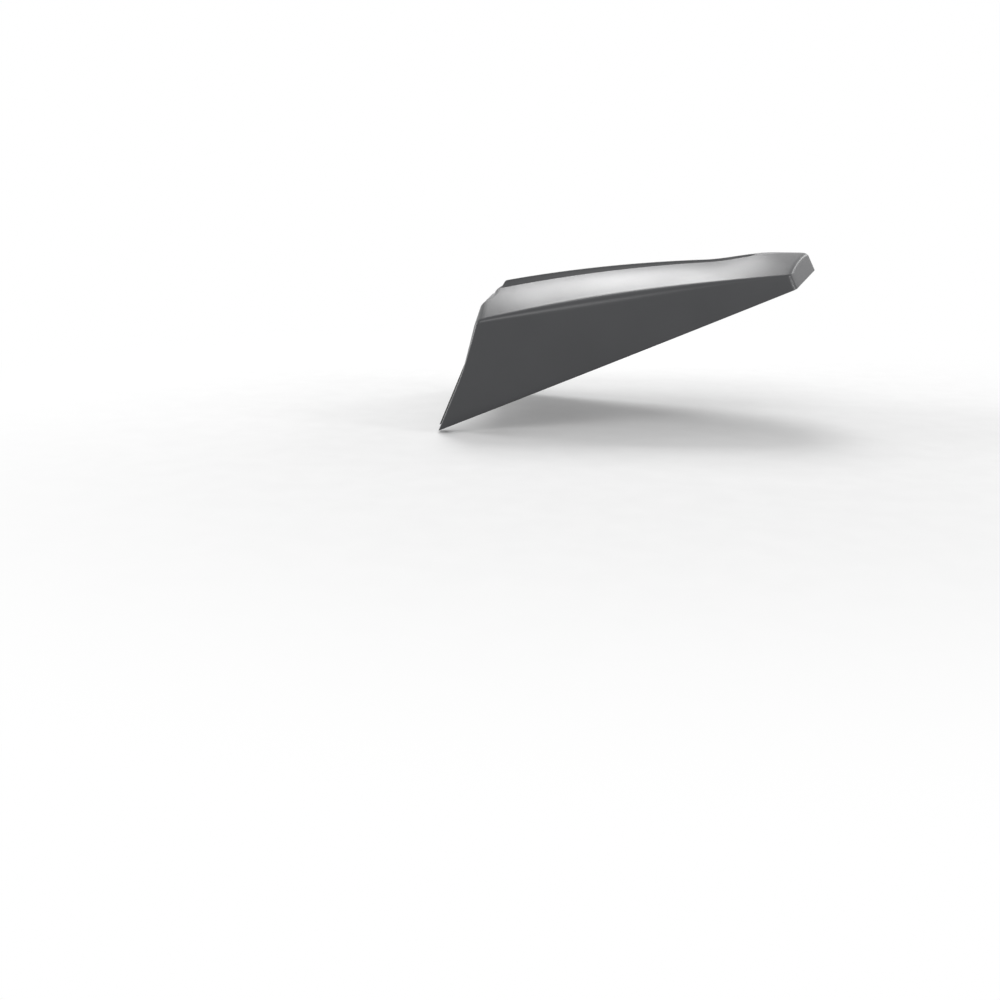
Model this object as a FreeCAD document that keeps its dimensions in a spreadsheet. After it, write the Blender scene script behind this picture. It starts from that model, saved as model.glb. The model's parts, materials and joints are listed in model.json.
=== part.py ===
import FreeCAD, Part
import math
import os
import Sketcher

# Seat cowl: a moulded cover for the passenger half of a motorcycle seat, with its brackets and rubbers.
# It is drawn on its rim plane: x along the rim from the low front corner to the tail, y to the right,
# z square to the rim. The finished pieces are then raked together to the attitude in which it is fitted.

Vector = FreeCAD.Vector
doc = FreeCAD.newDocument("seat_cowl")
sizes = doc.addObject("Spreadsheet::Sheet", "Sizes")

# The driving dimensions, in millimetres and degrees
SIZES = {
    # Moulded form
    "form_length": 359.5,  # rim, low front corner to tail tip
    "rim_rake": 21.6,  # rise of the rim as fitted
    "wall": 3,  # moulded wall
    "rim_half_front": 120,  # half width at the rim, front
    "rim_half_tail": 54.4,  # half width at the rim, tail
    "rim_half_bulge": 4,  # how far the rim bows out at mid length
    "crease_half_front": 112.5,  # half width at the side crease, front
    "crease_half_tail": 53.4,  # half width at the side crease, tail
    "crease_half_bulge": 5.5,  # how far the crease bows out at mid length
    "crease_high_front": 85.4,  # crease above the rim, front
    "crease_high_tail": 4.2,  # crease above the rim, tail
    "crease_high_bulge": 8.3,  # how far the crease bows up at mid length
    "ridge_half_front": 64,  # half distance between the ridges, front
    "ridge_half_tail": 4.6,  # half distance between the ridges, tail
    "ridge_half_bulge": 4,  # how far the ridges bow out at mid length
    "ridge_high_front": 104.6,  # ridge above the rim, front
    "ridge_high_tail": 12.6,  # ridge above the rim, tail
    "ridge_high_bulge": 12.9,  # how far the ridge bows up at mid length
    "tail_kick": 5.3,  # lift of the roof at the tail
    "crease_soft_end": 0.8,  # how far the crease is softened at each side of it, at both ends
    "crease_soft_mid": 8,  # the same at mid length
    "front_lean": 43.4,  # front wall, from square to the rim
    "nose_start": 40,  # start of the front's bulge above the rim
    "nose_blend": 150,  # round where the bulge starts
    "nose_along": 66.5,  # peak of the front's bulge, along the rim
    "nose_high": 81.7,  # peak of the front's bulge above the rim
    "nose_radius": 10,  # round at the peak of the bulge
    "nose_end": 88.6,  # end of the front's bulge above the rim
    "tail_sweep": 26,  # each half of the tail's end, from square across
    "tail_lean": 6,  # tail's end, from square to the rim
    "tail_rise_along": 330,  # start of the rim's rise at the tail, along the rim
    "tail_rise": 6,  # rise of the rim under the tail's end
    "tail_tip_radius": 10,  # round at the tail's tip
    "channel_depth": 9,  # channel below the ridges
    "channel_draft": 28,  # channel walls, from upright
    "ridge_land": 2,  # flat along each ridge
    "arch_flange": 16,  # front wall left at each side of the arch
    "arch_high": 92,  # top of the arch, up the front wall
    "arch_radius": 45,  # upper corners of the arch
    # Inside of the moulding
    "post_level": 14,  # lower ends of the posts above the rim
    "post_wide": 12,  # post
    "post_inset": 14,  # side posts in from the rim
    "side_post_front": 130,  # front side posts, along the rim
    "side_post_rear": 230,  # rear side posts, along the rim
    "tail_post_along": 300,  # tail posts, along the rim
    "tail_post_half": 28,  # tail posts from the middle
    "gusset_thick": 2.5,  # plates between posts and wall
    "rib_thick": 2.5,  # cross ribs
    "front_rib_along": 140,  # front cross rib, along the rim
    "front_rib_level": 52,  # front cross rib's lower edge above the rim
    "rear_rib_along": 215,  # rear cross rib, along the rim
    "rear_rib_level": 36,  # rear cross rib's lower edge above the rim
    # Rubbers
    "rubber_side": 1.5,  # U-profiles beside the edge they sit on
    "rubber_grip": 7,  # U-profiles' grip on the edge
    "rubber_bead": 2,  # U-profiles past the edge
    "trim_start": 4,  # edge trim's ends above the rim, up the front wall
    "trim_room": 2,  # flat front wall left around the edge trim
    "buffer_long": 110,  # rib buffers, across
    "pad_thick": 3,  # foot pads
    "pad_wide": 24,  # foot pads, across the foot
    "pad_long": 20,  # foot pads, along the foot
    "pad_corner": 3,  # foot pads' corners
    "pad_hole": 8,  # hole in the foot pads
    # Brackets and fasteners
    "sheet_thick": 2,  # bracket steel
    "strap_wide": 18,  # bracket strap
    "strap_past": 12,  # strap past its screws
    "strap_corner": 6,  # strap's corners
    "foot_wide": 30,  # bracket foot
    "foot_corner": 5,  # foot's corners
    "foot_drop": 10,  # foot below the strap
    "foot_slope": 8,  # slope between strap and foot, measured along
    "foot_start": 12,  # slope's start from the screws' line
    "foot_reach": 46,  # foot's tip from the screws' line
    "foot_hole_at": 33,  # foot's hole from the screws' line
    "foot_hole": 6.6,  # foot's hole, for a 6 mm screw into the seat's base
    "bend_radius": 2,  # inside of the bends
    "screw_thread": 5,  # bracket screws
    "screw_long": 10,  # bracket screws under the head
    "screw_head": 8,  # hexagonal head, across flats
    "screw_head_high": 3.5,  # head's height
    "screw_clearance": 0.5,  # holes over the thread, across
    "thread_gap": 0.1,  # insert over the thread and hole over the insert, across
    "washer_wide": 11,  # washer
    "washer_thick": 1,  # washer
    "insert_wide": 7,  # hexagonal threaded insert, across flats
    "insert_long": 8,  # threaded insert
    "insert_relief": 3,  # post hole past the insert
}


def cell(alias, content):
    """Put one named value, or the formula of one, into the next row of the sheet."""
    row = len(sizes.getUsedCells()) // 2 + 1
    sizes.set("A%d" % row, alias)
    sizes.set("B%d" % row, str(content))
    sizes.setAlias("B%d" % row, alias)


for alias, value in SIZES.items():
    cell(alias, value)


def bowed(curve, share):
    """Formula of a value that runs from front to tail along the rim and bows at mid length."""
    straight = "%s_front + (%s_tail - %s_front) * (%s)" % (curve, curve, curve, share)
    return "%s + 4 * %s_bulge * (%s) * (1 - (%s))" % (straight, curve, share, share)


# The frame's origin: the middle of the rear foot's hole, on the foot's upper face
cell("origin_along", "=tail_post_along - foot_hole_at")
cell("origin_level", "=post_level - foot_drop")

# Where the side posts stand, in from the rim, and how the strap between them turns
cell("side_half_front", "=" + bowed("rim_half", "side_post_front / form_length") + " - post_inset")
cell("side_half_rear", "=" + bowed("rim_half", "side_post_rear / form_length") + " - post_inset")
cell("side_mid_along", "=(side_post_front + side_post_rear) / 2")
cell("side_mid_half", "=(side_half_front + side_half_rear) / 2")
cell("strap_run", "=side_post_rear - side_post_front")
cell("strap_in", "=side_half_front - side_half_rear")
cell("strap_turn", "=atan(strap_in / strap_run)")
cell("side_spacing", "=sqrt(strap_run * strap_run + strap_in * strap_in)")
cell("tail_spacing", "=2 * tail_post_half")

# The arch follows the side panels' front edges, seen square to the front wall
cell("arch_share", "=arch_high * sin(front_lean) / form_length")
cell("arch_rim_half", "=" + bowed("rim_half", "arch_share"))
cell("arch_crease_half", "=" + bowed("crease_half", "arch_share"))
cell("arch_crease_high", "=" + bowed("crease_high", "arch_share"))
cell("arch_flare", "=(arch_rim_half - arch_crease_half) / arch_crease_high")
cell("arch_lean_in", "=arch_flare * arch_high * cos(front_lean)")
cell("arch_half_low", "=rim_half_front - arch_flange")
cell("arch_half_high", "=arch_rim_half - arch_lean_in - arch_flange")
cell("arch_taper", "=(arch_half_low - arch_half_high) / arch_high")
cell("arch_slant", "=sqrt(1 + arch_taper * arch_taper)")

# Tools that only have to reach past the form
cell("past", "=form_length")

# Stations of the form, as shares of its length, with the share of the tail's lift at each of them
FORM_STATIONS = [
    (-0.03, 0),
    (0.17, 0),
    (0.35, 0),
    (0.53, 0),
    (0.7, 0),
    (0.81, 0.25),
    (0.91, 0.9),
    (1.03, 0.9),
]
# Stations of the channel, with its shares of the tail's lift and of its depth; the last clears the roof
CHANNEL_STATIONS = [
    (-0.03, 0, 1),
    (0.17, 0, 1),
    (0.35, 0, 1),
    (0.53, 0, 0.95),
    (0.7, 0, 0.8),
    (0.8, 0.22, 0.4),
    (0.875, 0.7, -0.25),
]

for index, (share, lift) in enumerate(FORM_STATIONS):
    cell("form_along_%d" % index, "=form_length * (%s)" % share)
    cell("rim_half_%d" % index, "=" + bowed("rim_half", share))
    cell("crease_half_%d" % index, "=" + bowed("crease_half", share))
    cell("crease_high_%d" % index, "=" + bowed("crease_high", share))
    cell("ridge_half_%d" % index, "=" + bowed("ridge_half", share))
    cell("ridge_high_%d" % index, "=" + bowed("ridge_high", share) + " + tail_kick * %s" % lift)
    swell = "(crease_soft_mid - crease_soft_end) * pow(4 * (%s) * (1 - (%s)); 2)" % (share, share)
    cell("crease_cut_%d" % index, "=crease_soft_end + " + swell)
    flare = "(rim_half_%d - crease_half_%d) / crease_high_%d" % (index, index, index)
    cell("flare_%d" % index, "=" + flare)
    slope = "(ridge_high_%d - crease_high_%d) / (crease_half_%d - ridge_half_%d)" % ((index,) * 4)
    cell("slope_%d" % index, "=" + slope)

for index, (share, lift, depth) in enumerate(CHANNEL_STATIONS):
    cell("channel_along_%d" % index, "=form_length * (%s)" % share)
    cell("channel_edge_%d" % index, "=" + bowed("ridge_half", share) + " - ridge_land")
    cell("channel_top_%d" % index, "=" + bowed("ridge_high", share) + " + tail_kick * %s" % lift)
    cell("channel_deep_%d" % index, "=channel_depth * (%s)" % depth)

doc.recompute()

# From the rim plane to the fitted attitude, with the origin where the frame has it
FITTED = (
    "placement(vector(0; 0; 0); rotation(vector(0; 1; 0); -Sizes.rim_rake))"
    " * placement(vector(-Sizes.origin_along; 0; -Sizes.origin_level); rotation(vector(0; 0; 1); 0))"
)


def place(along, across, level, turn="0"):
    """Expression of a place on the rim plane, turned about the square to it."""
    return "placement(vector(%s; %s; %s); rotation(vector(0; 0; 1); %s))" % (along, across, level, turn)


def fitted(piece, label, where=None):
    """Name a finished sub-part and put it where it belongs in the frame."""
    piece.Label = label
    piece.setExpression("Placement", FITTED if where is None else FITTED + " * " + where)
    return piece


def primitive(kind, name, where, **bound):
    """A Part primitive with its sizes bound to the sheet."""
    solid = doc.addObject("Part::" + kind, name)
    for prop, expression in bound.items():
        solid.setExpression(prop, expression)
    solid.setExpression("Placement", where)
    return solid


def hexagon(name, where, flats, high):
    """A hexagonal prism with its width across flats given."""
    return primitive("Prism", name, where, Circumradius="(%s) / sqrt(3)" % flats, Height=high)


def boolean(kind, name, base, tool):
    result = doc.addObject("Part::" + kind, name)
    result.Base = base
    result.Tool = tool
    return result


def fused(name, solids):
    result = doc.addObject("Part::MultiFuse", name)
    result.Shapes = solids
    return result


def sketch_on(body, role, name, offset=None):
    """A sketch on one of the body's own origin planes, moved off it by an expression."""
    plane = [feature for feature in body.Origin.OriginFeatures if feature.Role == role][0]
    sketch = body.newObject("Sketcher::SketchObject", name)
    sketch.AttachmentSupport = [(plane, "")]
    sketch.MapMode = "FlatFace"
    if offset is not None:
        sketch.setExpression("AttachmentOffset", offset)
    return sketch


def bind(sketch, constraint, expression):
    index = sketch.addConstraint(constraint)
    sketch.setExpression("Constraints[%d]" % index, expression)


def pin(sketch, geometry, end, x, y):
    """Hold a point of the sketch at two expressions from its origin."""
    if x == "0":
        sketch.addConstraint(Sketcher.Constraint("PointOnObject", geometry, end, -2))
    else:
        bind(sketch, Sketcher.Constraint("DistanceX", -1, 1, geometry, end, sketch.evalExpression(x)), x)
    if y == "0":
        sketch.addConstraint(Sketcher.Constraint("PointOnObject", geometry, end, -1))
    else:
        bind(sketch, Sketcher.Constraint("DistanceY", -1, 1, geometry, end, sketch.evalExpression(y)), y)


def outline(sketch, corners):
    """Draw a closed outline, anticlockwise, from corners (x, y, radius or None) given as expressions."""
    count = len(corners)
    points = [Vector(sketch.evalExpression(x), sketch.evalExpression(y), 0) for x, y, radius in corners]
    arrive = list(points)
    leave = list(points)
    arcs = {}
    for index, (x, y, radius) in enumerate(corners):
        if radius is None:
            continue
        back = (points[index - 1] - points[index]).normalize()
        ahead = (points[(index + 1) % count] - points[index]).normalize()
        half = back.getAngle(ahead) / 2
        value = sketch.evalExpression(radius)
        arrive[index] = points[index] + back * (value / math.tan(half))
        leave[index] = points[index] + ahead * (value / math.tan(half))
        centre = points[index] + (back + ahead).normalize() * (value / math.sin(half))
        turns_left = ahead.cross(back).z > 0
        arcs[index] = (centre, value, turns_left)
    lines = []
    for index in range(count):
        segment = Part.LineSegment(leave[index], arrive[(index + 1) % count])
        lines.append(sketch.addGeometry(segment, False))
    for index, (x, y, radius) in enumerate(corners):
        before = lines[index - 1]
        after = lines[index]
        if radius is None:
            sketch.addConstraint(Sketcher.Constraint("Coincident", before, 2, after, 1))
            pin(sketch, after, 1, x, y)
            continue
        centre, value, turns_left = arcs[index]
        starts = arrive[index] if turns_left else leave[index]
        ends = leave[index] if turns_left else arrive[index]
        first = math.atan2(starts.y - centre.y, starts.x - centre.x)
        last = math.atan2(ends.y - centre.y, ends.x - centre.x)
        circle = Part.Circle(centre, Vector(0, 0, 1), value)
        arc = sketch.addGeometry(Part.ArcOfCircle(circle, first, last), False)
        mark = sketch.addGeometry(Part.Point(points[index]), True)
        enter = 1 if turns_left else 2
        sketch.addConstraint(Sketcher.Constraint("Tangent", before, 2, arc, enter))
        sketch.addConstraint(Sketcher.Constraint("Tangent", arc, 3 - enter, after, 1))
        sketch.addConstraint(Sketcher.Constraint("PointOnObject", mark, 1, before))
        sketch.addConstraint(Sketcher.Constraint("PointOnObject", mark, 1, after))
        bind(sketch, Sketcher.Constraint("Radius", arc, value), radius)
        pin(sketch, mark, 1, x, y)


def mirrored(half):
    """Corners of the right half, from below to the top, and the same on the left."""
    left = [("-(%s)" % x, y, radius) for x, y, radius in reversed(half)]
    return half + left


def clipped(left, right, near, far, corner):
    """Corners of a rectangle with its four corners clipped."""
    return [
        ("%s + %s" % (left, corner), near, None),
        ("%s - %s" % (right, corner), near, None),
        (right, "%s + %s" % (near, corner), None),
        (right, "%s - %s" % (far, corner), None),
        ("%s - %s" % (right, corner), far, None),
        ("%s + %s" % (left, corner), far, None),
        (left, "%s - %s" % (far, corner), None),
        (left, "%s + %s" % (near, corner), None),
    ]


def circle_at(sketch, x, y, diameter):
    centre = Vector(sketch.evalExpression(x), sketch.evalExpression(y), 0)
    value = sketch.evalExpression(diameter)
    circle = sketch.addGeometry(Part.Circle(centre, Vector(0, 0, 1), value / 2), False)
    bind(sketch, Sketcher.Constraint("Diameter", circle, value), diameter)
    pin(sketch, circle, 3, x, y)


def pad(body, sketch, name, length, symmetric=False):
    feature = body.newObject("PartDesign::Pad", name)
    feature.Profile = sketch
    feature.setExpression("Length", length)
    if symmetric:
        feature.SideType = "Symmetric"
    return feature


def pocket(body, sketch, name, length=None):
    """A pocket to both sides of its sketch, through all or of a given length."""
    feature = body.newObject("PartDesign::Pocket", name)
    feature.Profile = sketch
    feature.SideType = "Symmetric"
    if length is None:
        feature.Type = "ThroughAll"
    else:
        feature.setExpression("Length", length)
    return feature


def loft(body, sketches, name):
    feature = body.newObject("PartDesign::AdditiveLoft", name)
    feature.Profile = sketches[0]
    feature.Sections = sketches[1:]
    return feature


# How far a corner of the section moves in for each millimetre of wall
CREASE_IN = 0.93
CREASE_DOWN = 0.76
RIDGE_IN = 0.17


# The crease is softened by narrow flats; these are the shares of its turn at which they meet
OUTER_TURNS = [0, 0.25, 0.5, 0.75, 1]
INNER_TURNS = [0, 1]


def crease_point(crease, level, index, turn):
    """A point on the softened crease, from the side panel at turn 0 to the shoulder at turn 1."""
    down = "Sizes.crease_cut_%d * %s" % (index, (1 - turn) ** 2)
    inward = "Sizes.crease_cut_%d * %s" % (index, turn ** 2)
    across = "%s + Sizes.flare_%d * %s - %s" % (crease, index, down, inward)
    high = "%s - %s + Sizes.slope_%d * %s" % (level, down, index, inward)
    return (across, high, None)


def on_front(level):
    """How far along the rim the straight front wall stands at a level above it."""
    return "%s * tan(Sizes.front_lean)" % level


def form(name, inset, hollow):
    """The cowl as a solid: lofted over its stations, with its front, tail and rim cut to shape.

    The hollow inside it is the same, smaller by the wall, open below and straight in front.
    """
    body = doc.addObject("PartDesign::Body", name)
    sections = []
    for index in range(len(FORM_STATIONS)):
        station = place("0", "0", "Sizes.form_along_%d" % index)
        sketch = sketch_on(body, "YZ_Plane", "%s_section_%d" % (name, index), station)
        foot = "Sizes.rim_half_%d + Sizes.flare_%d * Sizes.wall - %s" % (index, index, inset)
        crease = "Sizes.crease_half_%d - %s * %s" % (index, CREASE_IN, inset)
        crease_level = "Sizes.crease_high_%d - %s * %s" % (index, CREASE_DOWN, inset)
        ridge = "Sizes.ridge_half_%d - %s * %s" % (index, RIDGE_IN, inset)
        ridge_level = "Sizes.ridge_high_%d - %s" % (index, inset)
        half = [(foot, "-Sizes.wall", None)]
        for turn in INNER_TURNS if hollow else OUTER_TURNS:
            half.append(crease_point(crease, crease_level, index, turn))
        half.append((ridge, ridge_level, None))
        outline(sketch, mirrored(half))
        sections.append(sketch)
    loft(body, sections, name + "_loft")

    front = sketch_on(body, "XZ_Plane", name + "_front_line")
    moved = "%s / cos(Sizes.front_lean)" % inset
    bulge = []
    if not hollow:
        bulge = [
            (on_front("Sizes.nose_start"), "Sizes.nose_start", "Sizes.nose_blend"),
            ("Sizes.nose_along", "Sizes.nose_high", "Sizes.nose_radius"),
            (on_front("Sizes.nose_end"), "Sizes.nose_end", None),
        ]
    outline(front, [
        ("%s - %s" % (moved, on_front("Sizes.past")), "-Sizes.past", None),
        *bulge,
        ("%s + %s" % (moved, on_front("Sizes.past")), "Sizes.past", None),
        ("-2 * Sizes.past", "Sizes.past", None),
        ("-2 * Sizes.past", "-Sizes.past", None),
    ])
    pocket(body, front, name + "_front")

    leaned = "placement(vector(0; 0; 0); rotation(vector(0; 1; 0); -Sizes.tail_lean))"
    tail = sketch_on(body, "XY_Plane", name + "_tail_line", leaned)
    tip = "Sizes.form_length * cos(Sizes.tail_lean) - %s / cos(Sizes.tail_sweep)" % inset
    swept = "%s - Sizes.past * tan(Sizes.tail_sweep)" % tip
    outline(tail, [
        (swept, "-Sizes.past", None),
        ("2 * Sizes.past", "-Sizes.past", None),
        ("2 * Sizes.past", "Sizes.past", None),
        (swept, "Sizes.past", None),
        (tip, "0", "Sizes.tail_tip_radius - %s" % inset),
    ])
    pocket(body, tail, name + "_tail")

    if hollow:
        return body
    rim = sketch_on(body, "XZ_Plane", name + "_rim_line")
    outline(rim, [
        ("-Sizes.past", "-Sizes.past", None),
        ("2 * Sizes.past", "-Sizes.past", None),
        ("2 * Sizes.past", "(2 * Sizes.past - Sizes.tail_rise_along) * tan(Sizes.tail_rise)", None),
        ("Sizes.tail_rise_along", "0", None),
        ("-Sizes.past", "0", None),
    ])
    pocket(body, rim, name + "_rim")
    return body


def channel(name, wider):
    """The channel between the ridges as a solid, grown on all sides by a wall where it is wanted."""
    body = doc.addObject("PartDesign::Body", name)
    sections = []
    for index in range(len(CHANNEL_STATIONS)):
        station = place("0", "0", "Sizes.channel_along_%d" % index)
        sketch = sketch_on(body, "YZ_Plane", "%s_section_%d" % (name, index), station)
        edge = "Sizes.channel_edge_%d + %s / cos(Sizes.channel_draft)" % (index, wider)
        deep = "(Sizes.channel_deep_%d + %s)" % (index, wider)
        level = "Sizes.channel_top_%d" % index
        above = "Sizes.channel_depth"
        half = [
            ("%s - %s * tan(Sizes.channel_draft)" % (edge, deep), "%s - %s" % (level, deep), None),
            ("%s + %s * tan(Sizes.channel_draft)" % (edge, above), "%s + %s" % (level, above), None),
        ]
        outline(sketch, mirrored(half))
        sections.append(sketch)
    loft(body, sections, name + "_loft")
    return body


def arch_corners(grown, start):
    """The arch on the front wall, grown by an expression, from a start up the wall."""
    low = "Sizes.arch_half_low + %s * Sizes.arch_slant - Sizes.arch_taper * (%s)" % (grown, start)
    top = "Sizes.arch_high + %s" % grown
    high = "Sizes.arch_half_low + %s * Sizes.arch_slant - Sizes.arch_taper * (%s)" % (grown, top)
    return mirrored([(low, start, None), (high, top, "Sizes.arch_radius + %s" % grown)])


def front_plane(inward):
    """The front wall's plane: the origin plane across the cowl, leaned back about its low edge."""
    lean = "rotation(vector(1; 0; 0); Sizes.front_lean)"
    down = "-%s * sin(Sizes.front_lean)" % inward
    back = "%s * cos(Sizes.front_lean)" % inward
    return "placement(vector(0; %s; %s); %s)" % (down, back, lean)


def arch_tool(name, middle, grown, thick):
    """A slab on the front wall with the arch's outline, to cut with."""
    body = doc.addObject("PartDesign::Body", name)
    sketch = sketch_on(body, "YZ_Plane", name + "_line", front_plane(middle))
    outline(sketch, arch_corners(grown, "-Sizes.arch_flange"))
    pad(body, sketch, name + "_pad", thick, symmetric=True)
    return body


# Posts: along, across, and the way their gussets run to the nearest wall, as a turn from straight back
POSTS = [
    ("Sizes.side_post_front", "-Sizes.side_half_front", "-90"),
    ("Sizes.side_post_rear", "-Sizes.side_half_rear", "-90"),
    ("Sizes.side_post_front", "Sizes.side_half_front", "90"),
    ("Sizes.side_post_rear", "Sizes.side_half_rear", "90"),
    ("Sizes.tail_post_along", "-Sizes.tail_post_half", "0"),
    ("Sizes.tail_post_along", "Sizes.tail_post_half", "0"),
]


def gusset(index, along, across, turn):
    """A plate from a post out through the nearest wall, from which only the inside is kept."""
    half_back = place("0", "-Sizes.gusset_thick / 2", "0")
    return primitive(
        "Box", "gusset_%d" % index, place(along, across, "Sizes.post_level", turn) + " * " + half_back,
        Length="Sizes.past", Width="Sizes.gusset_thick", Height="Sizes.ridge_high_front",
    )


def rib(name, along, level):
    return primitive(
        "Box", name, place(along, "-Sizes.rim_half_front", level),
        Length="Sizes.rib_thick", Width="2 * Sizes.rim_half_front", Height="Sizes.ridge_high_front",
    )


def cowl_shell():
    """The moulding: skin, posts, gussets and ribs, with the arch and the insert holes cut."""
    solid_form = form("outer_form", "0", hollow=False)
    hollow_form = form("inner_form", "Sizes.wall", hollow=True)
    outside = boolean("Cut", "outside", solid_form, channel("channel_cut", "0"))
    inside = boolean("Cut", "inside", hollow_form, channel("channel_skin", "Sizes.wall"))
    skin = boolean("Cut", "skin", outside, inside)
    stiffeners = [
        rib("front_rib", "Sizes.front_rib_along", "Sizes.front_rib_level"),
        rib("rear_rib", "Sizes.rear_rib_along", "Sizes.rear_rib_level"),
    ]
    arch = arch_tool("arch", "0", "0", "4 * Sizes.arch_flange")
    trim_seat = arch_tool(
        "trim_seat", "-Sizes.arch_flange", "(Sizes.rubber_grip + Sizes.trim_room)", "2 * Sizes.arch_flange",
    )
    holes = [arch, trim_seat]
    high = "Sizes.ridge_high_front"
    for index, (along, across, turn) in enumerate(POSTS):
        where = place(along, across, "Sizes.post_level")
        post = primitive("Cylinder", "post_%d" % index, where, Radius="Sizes.post_wide / 2", Height=high)
        stiffeners.append(post)
        stiffeners.append(gusset(index, along, across, turn))
        deep = "Sizes.insert_long + Sizes.insert_relief"
        holes.append(hexagon("insert_hole_%d" % index, where, "Sizes.insert_wide + Sizes.thread_gap", deep))
    grown = boolean("Common", "stiffening", outside, fused("stiffeners", stiffeners))
    whole = fused("moulding", [skin, grown])
    fitted(boolean("Cut", "cowl_shell", whole, fused("shell_holes", holes)), "cowl_shell")


def front_edge_trim():
    """Rubber U-profile over the edge of the arch, gripping both faces of the front wall."""
    body = doc.addObject("PartDesign::Body", "front_edge_trim")
    middle = front_plane("Sizes.wall / 2")
    below = "Sizes.trim_start - Sizes.arch_flange"
    band = sketch_on(body, "YZ_Plane", "trim_band", middle)
    outline(band, arch_corners("Sizes.rubber_grip", "Sizes.trim_start"))
    pad(body, band, "trim_pad", "Sizes.wall + 2 * Sizes.rubber_side", symmetric=True)
    inner = sketch_on(body, "YZ_Plane", "trim_inner", middle)
    outline(inner, arch_corners("-Sizes.rubber_bead", below))
    pocket(body, inner, "trim_mouth")
    slot = sketch_on(body, "YZ_Plane", "trim_slot_line", middle)
    outline(slot, arch_corners("0", below))
    outline(slot, mirrored([
        ("Sizes.past", below + " - Sizes.arch_flange", None),
        ("Sizes.past", "Sizes.past", None),
    ]))
    pocket(body, slot, "trim_slot", "Sizes.wall")
    fitted(body, "front_edge_trim")


def rib_buffer(label, along, level):
    """Rubber U-profile on the lower edge of a cross rib."""
    across = "-Sizes.buffer_long / 2"
    beside = along + " - Sizes.rubber_side"
    below = level + " - Sizes.rubber_bead"
    outer = primitive(
        "Box", label + "_outer", place(beside, across, below),
        Length="Sizes.rib_thick + 2 * Sizes.rubber_side", Width="Sizes.buffer_long",
        Height="Sizes.rubber_bead + Sizes.rubber_grip",
    )
    groove = primitive(
        "Box", label + "_groove", place(along, across, level),
        Length="Sizes.rib_thick", Width="Sizes.buffer_long", Height="Sizes.rubber_grip",
    )
    fitted(boolean("Cut", label, outer, groove), label)


def bracket(label, spacing, where):
    """Bent steel bracket: a strap under two posts and a foot stepped down under the seat's base."""
    body = doc.addObject("PartDesign::Body", label)
    end = "%s / 2 + Sizes.strap_past" % spacing
    side = "Sizes.strap_wide / 2"
    strap = sketch_on(body, "XY_Plane", label + "_strap_line", place("0", "0", "-Sizes.sheet_thick"))
    outline(strap, clipped("-(%s)" % end, end, "-" + side, side, "Sizes.strap_corner"))
    pad(body, strap, label + "_strap", "Sizes.sheet_thick")

    # The step keeps the sheet's thickness along its slope, so its two bends are shifted by this much
    slope = "sqrt(pow(Sizes.foot_drop; 2) + pow(Sizes.foot_slope; 2))"
    shift = "Sizes.sheet_thick * (%s - Sizes.foot_slope) / Sizes.foot_drop" % slope
    outer_bend = "Sizes.bend_radius + Sizes.sheet_thick"
    lower = "-Sizes.foot_drop - Sizes.sheet_thick"
    step = sketch_on(body, "YZ_Plane", label + "_step_line")
    outline(step, [
        ("0", "-Sizes.sheet_thick", None),
        ("Sizes.foot_start - %s" % shift, "-Sizes.sheet_thick", "Sizes.bend_radius"),
        ("Sizes.foot_start + Sizes.foot_slope - %s" % shift, lower, outer_bend),
        ("Sizes.foot_reach", lower, None),
        ("Sizes.foot_reach", "-Sizes.foot_drop", None),
        ("Sizes.foot_start + Sizes.foot_slope", "-Sizes.foot_drop", "Sizes.bend_radius"),
        ("Sizes.foot_start", "0", outer_bend),
        ("0", "0", None),
    ])
    foot = pad(body, step, label + "_foot", "Sizes.foot_wide", symmetric=True)
    doc.recompute()

    corners = []
    for index, edge in enumerate(foot.Shape.Edges):
        at_tip = edge.BoundBox.YMin > sizes.foot_reach - sizes.foot_corner
        upright = edge.BoundBox.XLength < sizes.foot_corner
        if at_tip and upright:
            corners.append("Edge%d" % (index + 1))
    cut = body.newObject("PartDesign::Chamfer", label + "_corners")
    cut.Base = (foot, corners)
    cut.setExpression("Size", "Sizes.foot_corner")

    holes = sketch_on(body, "XY_Plane", label + "_holes_line")
    screw_hole = "Sizes.screw_thread + Sizes.screw_clearance"
    circle_at(holes, "-%s / 2" % spacing, "0", screw_hole)
    circle_at(holes, "%s / 2" % spacing, "0", screw_hole)
    circle_at(holes, "0", "Sizes.foot_hole_at", "Sizes.foot_hole")
    pocket(body, holes, label + "_holes")
    fitted(body, label, where)


def foot_pad(label, where):
    """Rubber pad on a bracket's foot, with a hole around the foot's screw."""
    body = doc.addObject("PartDesign::Body", label)
    sketch = sketch_on(body, "XY_Plane", label + "_line", place("0", "0", "-Sizes.foot_drop"))
    half = "Sizes.pad_wide / 2"
    near = "Sizes.foot_hole_at - Sizes.pad_long / 2"
    far = "Sizes.foot_hole_at + Sizes.pad_long / 2"
    outline(sketch, clipped("-" + half, half, near, far, "Sizes.pad_corner"))
    circle_at(sketch, "0", "Sizes.foot_hole_at", "Sizes.pad_hole")
    pad(body, sketch, label + "_pad", "Sizes.pad_thick")
    fitted(body, label, where)


def screw(index, along, across):
    """A hexagon-head screw up through the strap into its insert."""
    head_level = "Sizes.post_level - Sizes.sheet_thick - Sizes.washer_thick"
    shank = primitive(
        "Cylinder", "screw_shank_%d" % index, place(along, across, head_level),
        Radius="Sizes.screw_thread / 2", Height="Sizes.screw_long",
    )
    under = place(along, across, head_level + " - Sizes.screw_head_high")
    head = hexagon("screw_head_%d" % index, under, "Sizes.screw_head", "Sizes.screw_head_high")
    return fused("screw_%d" % index, [shank, head])


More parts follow.
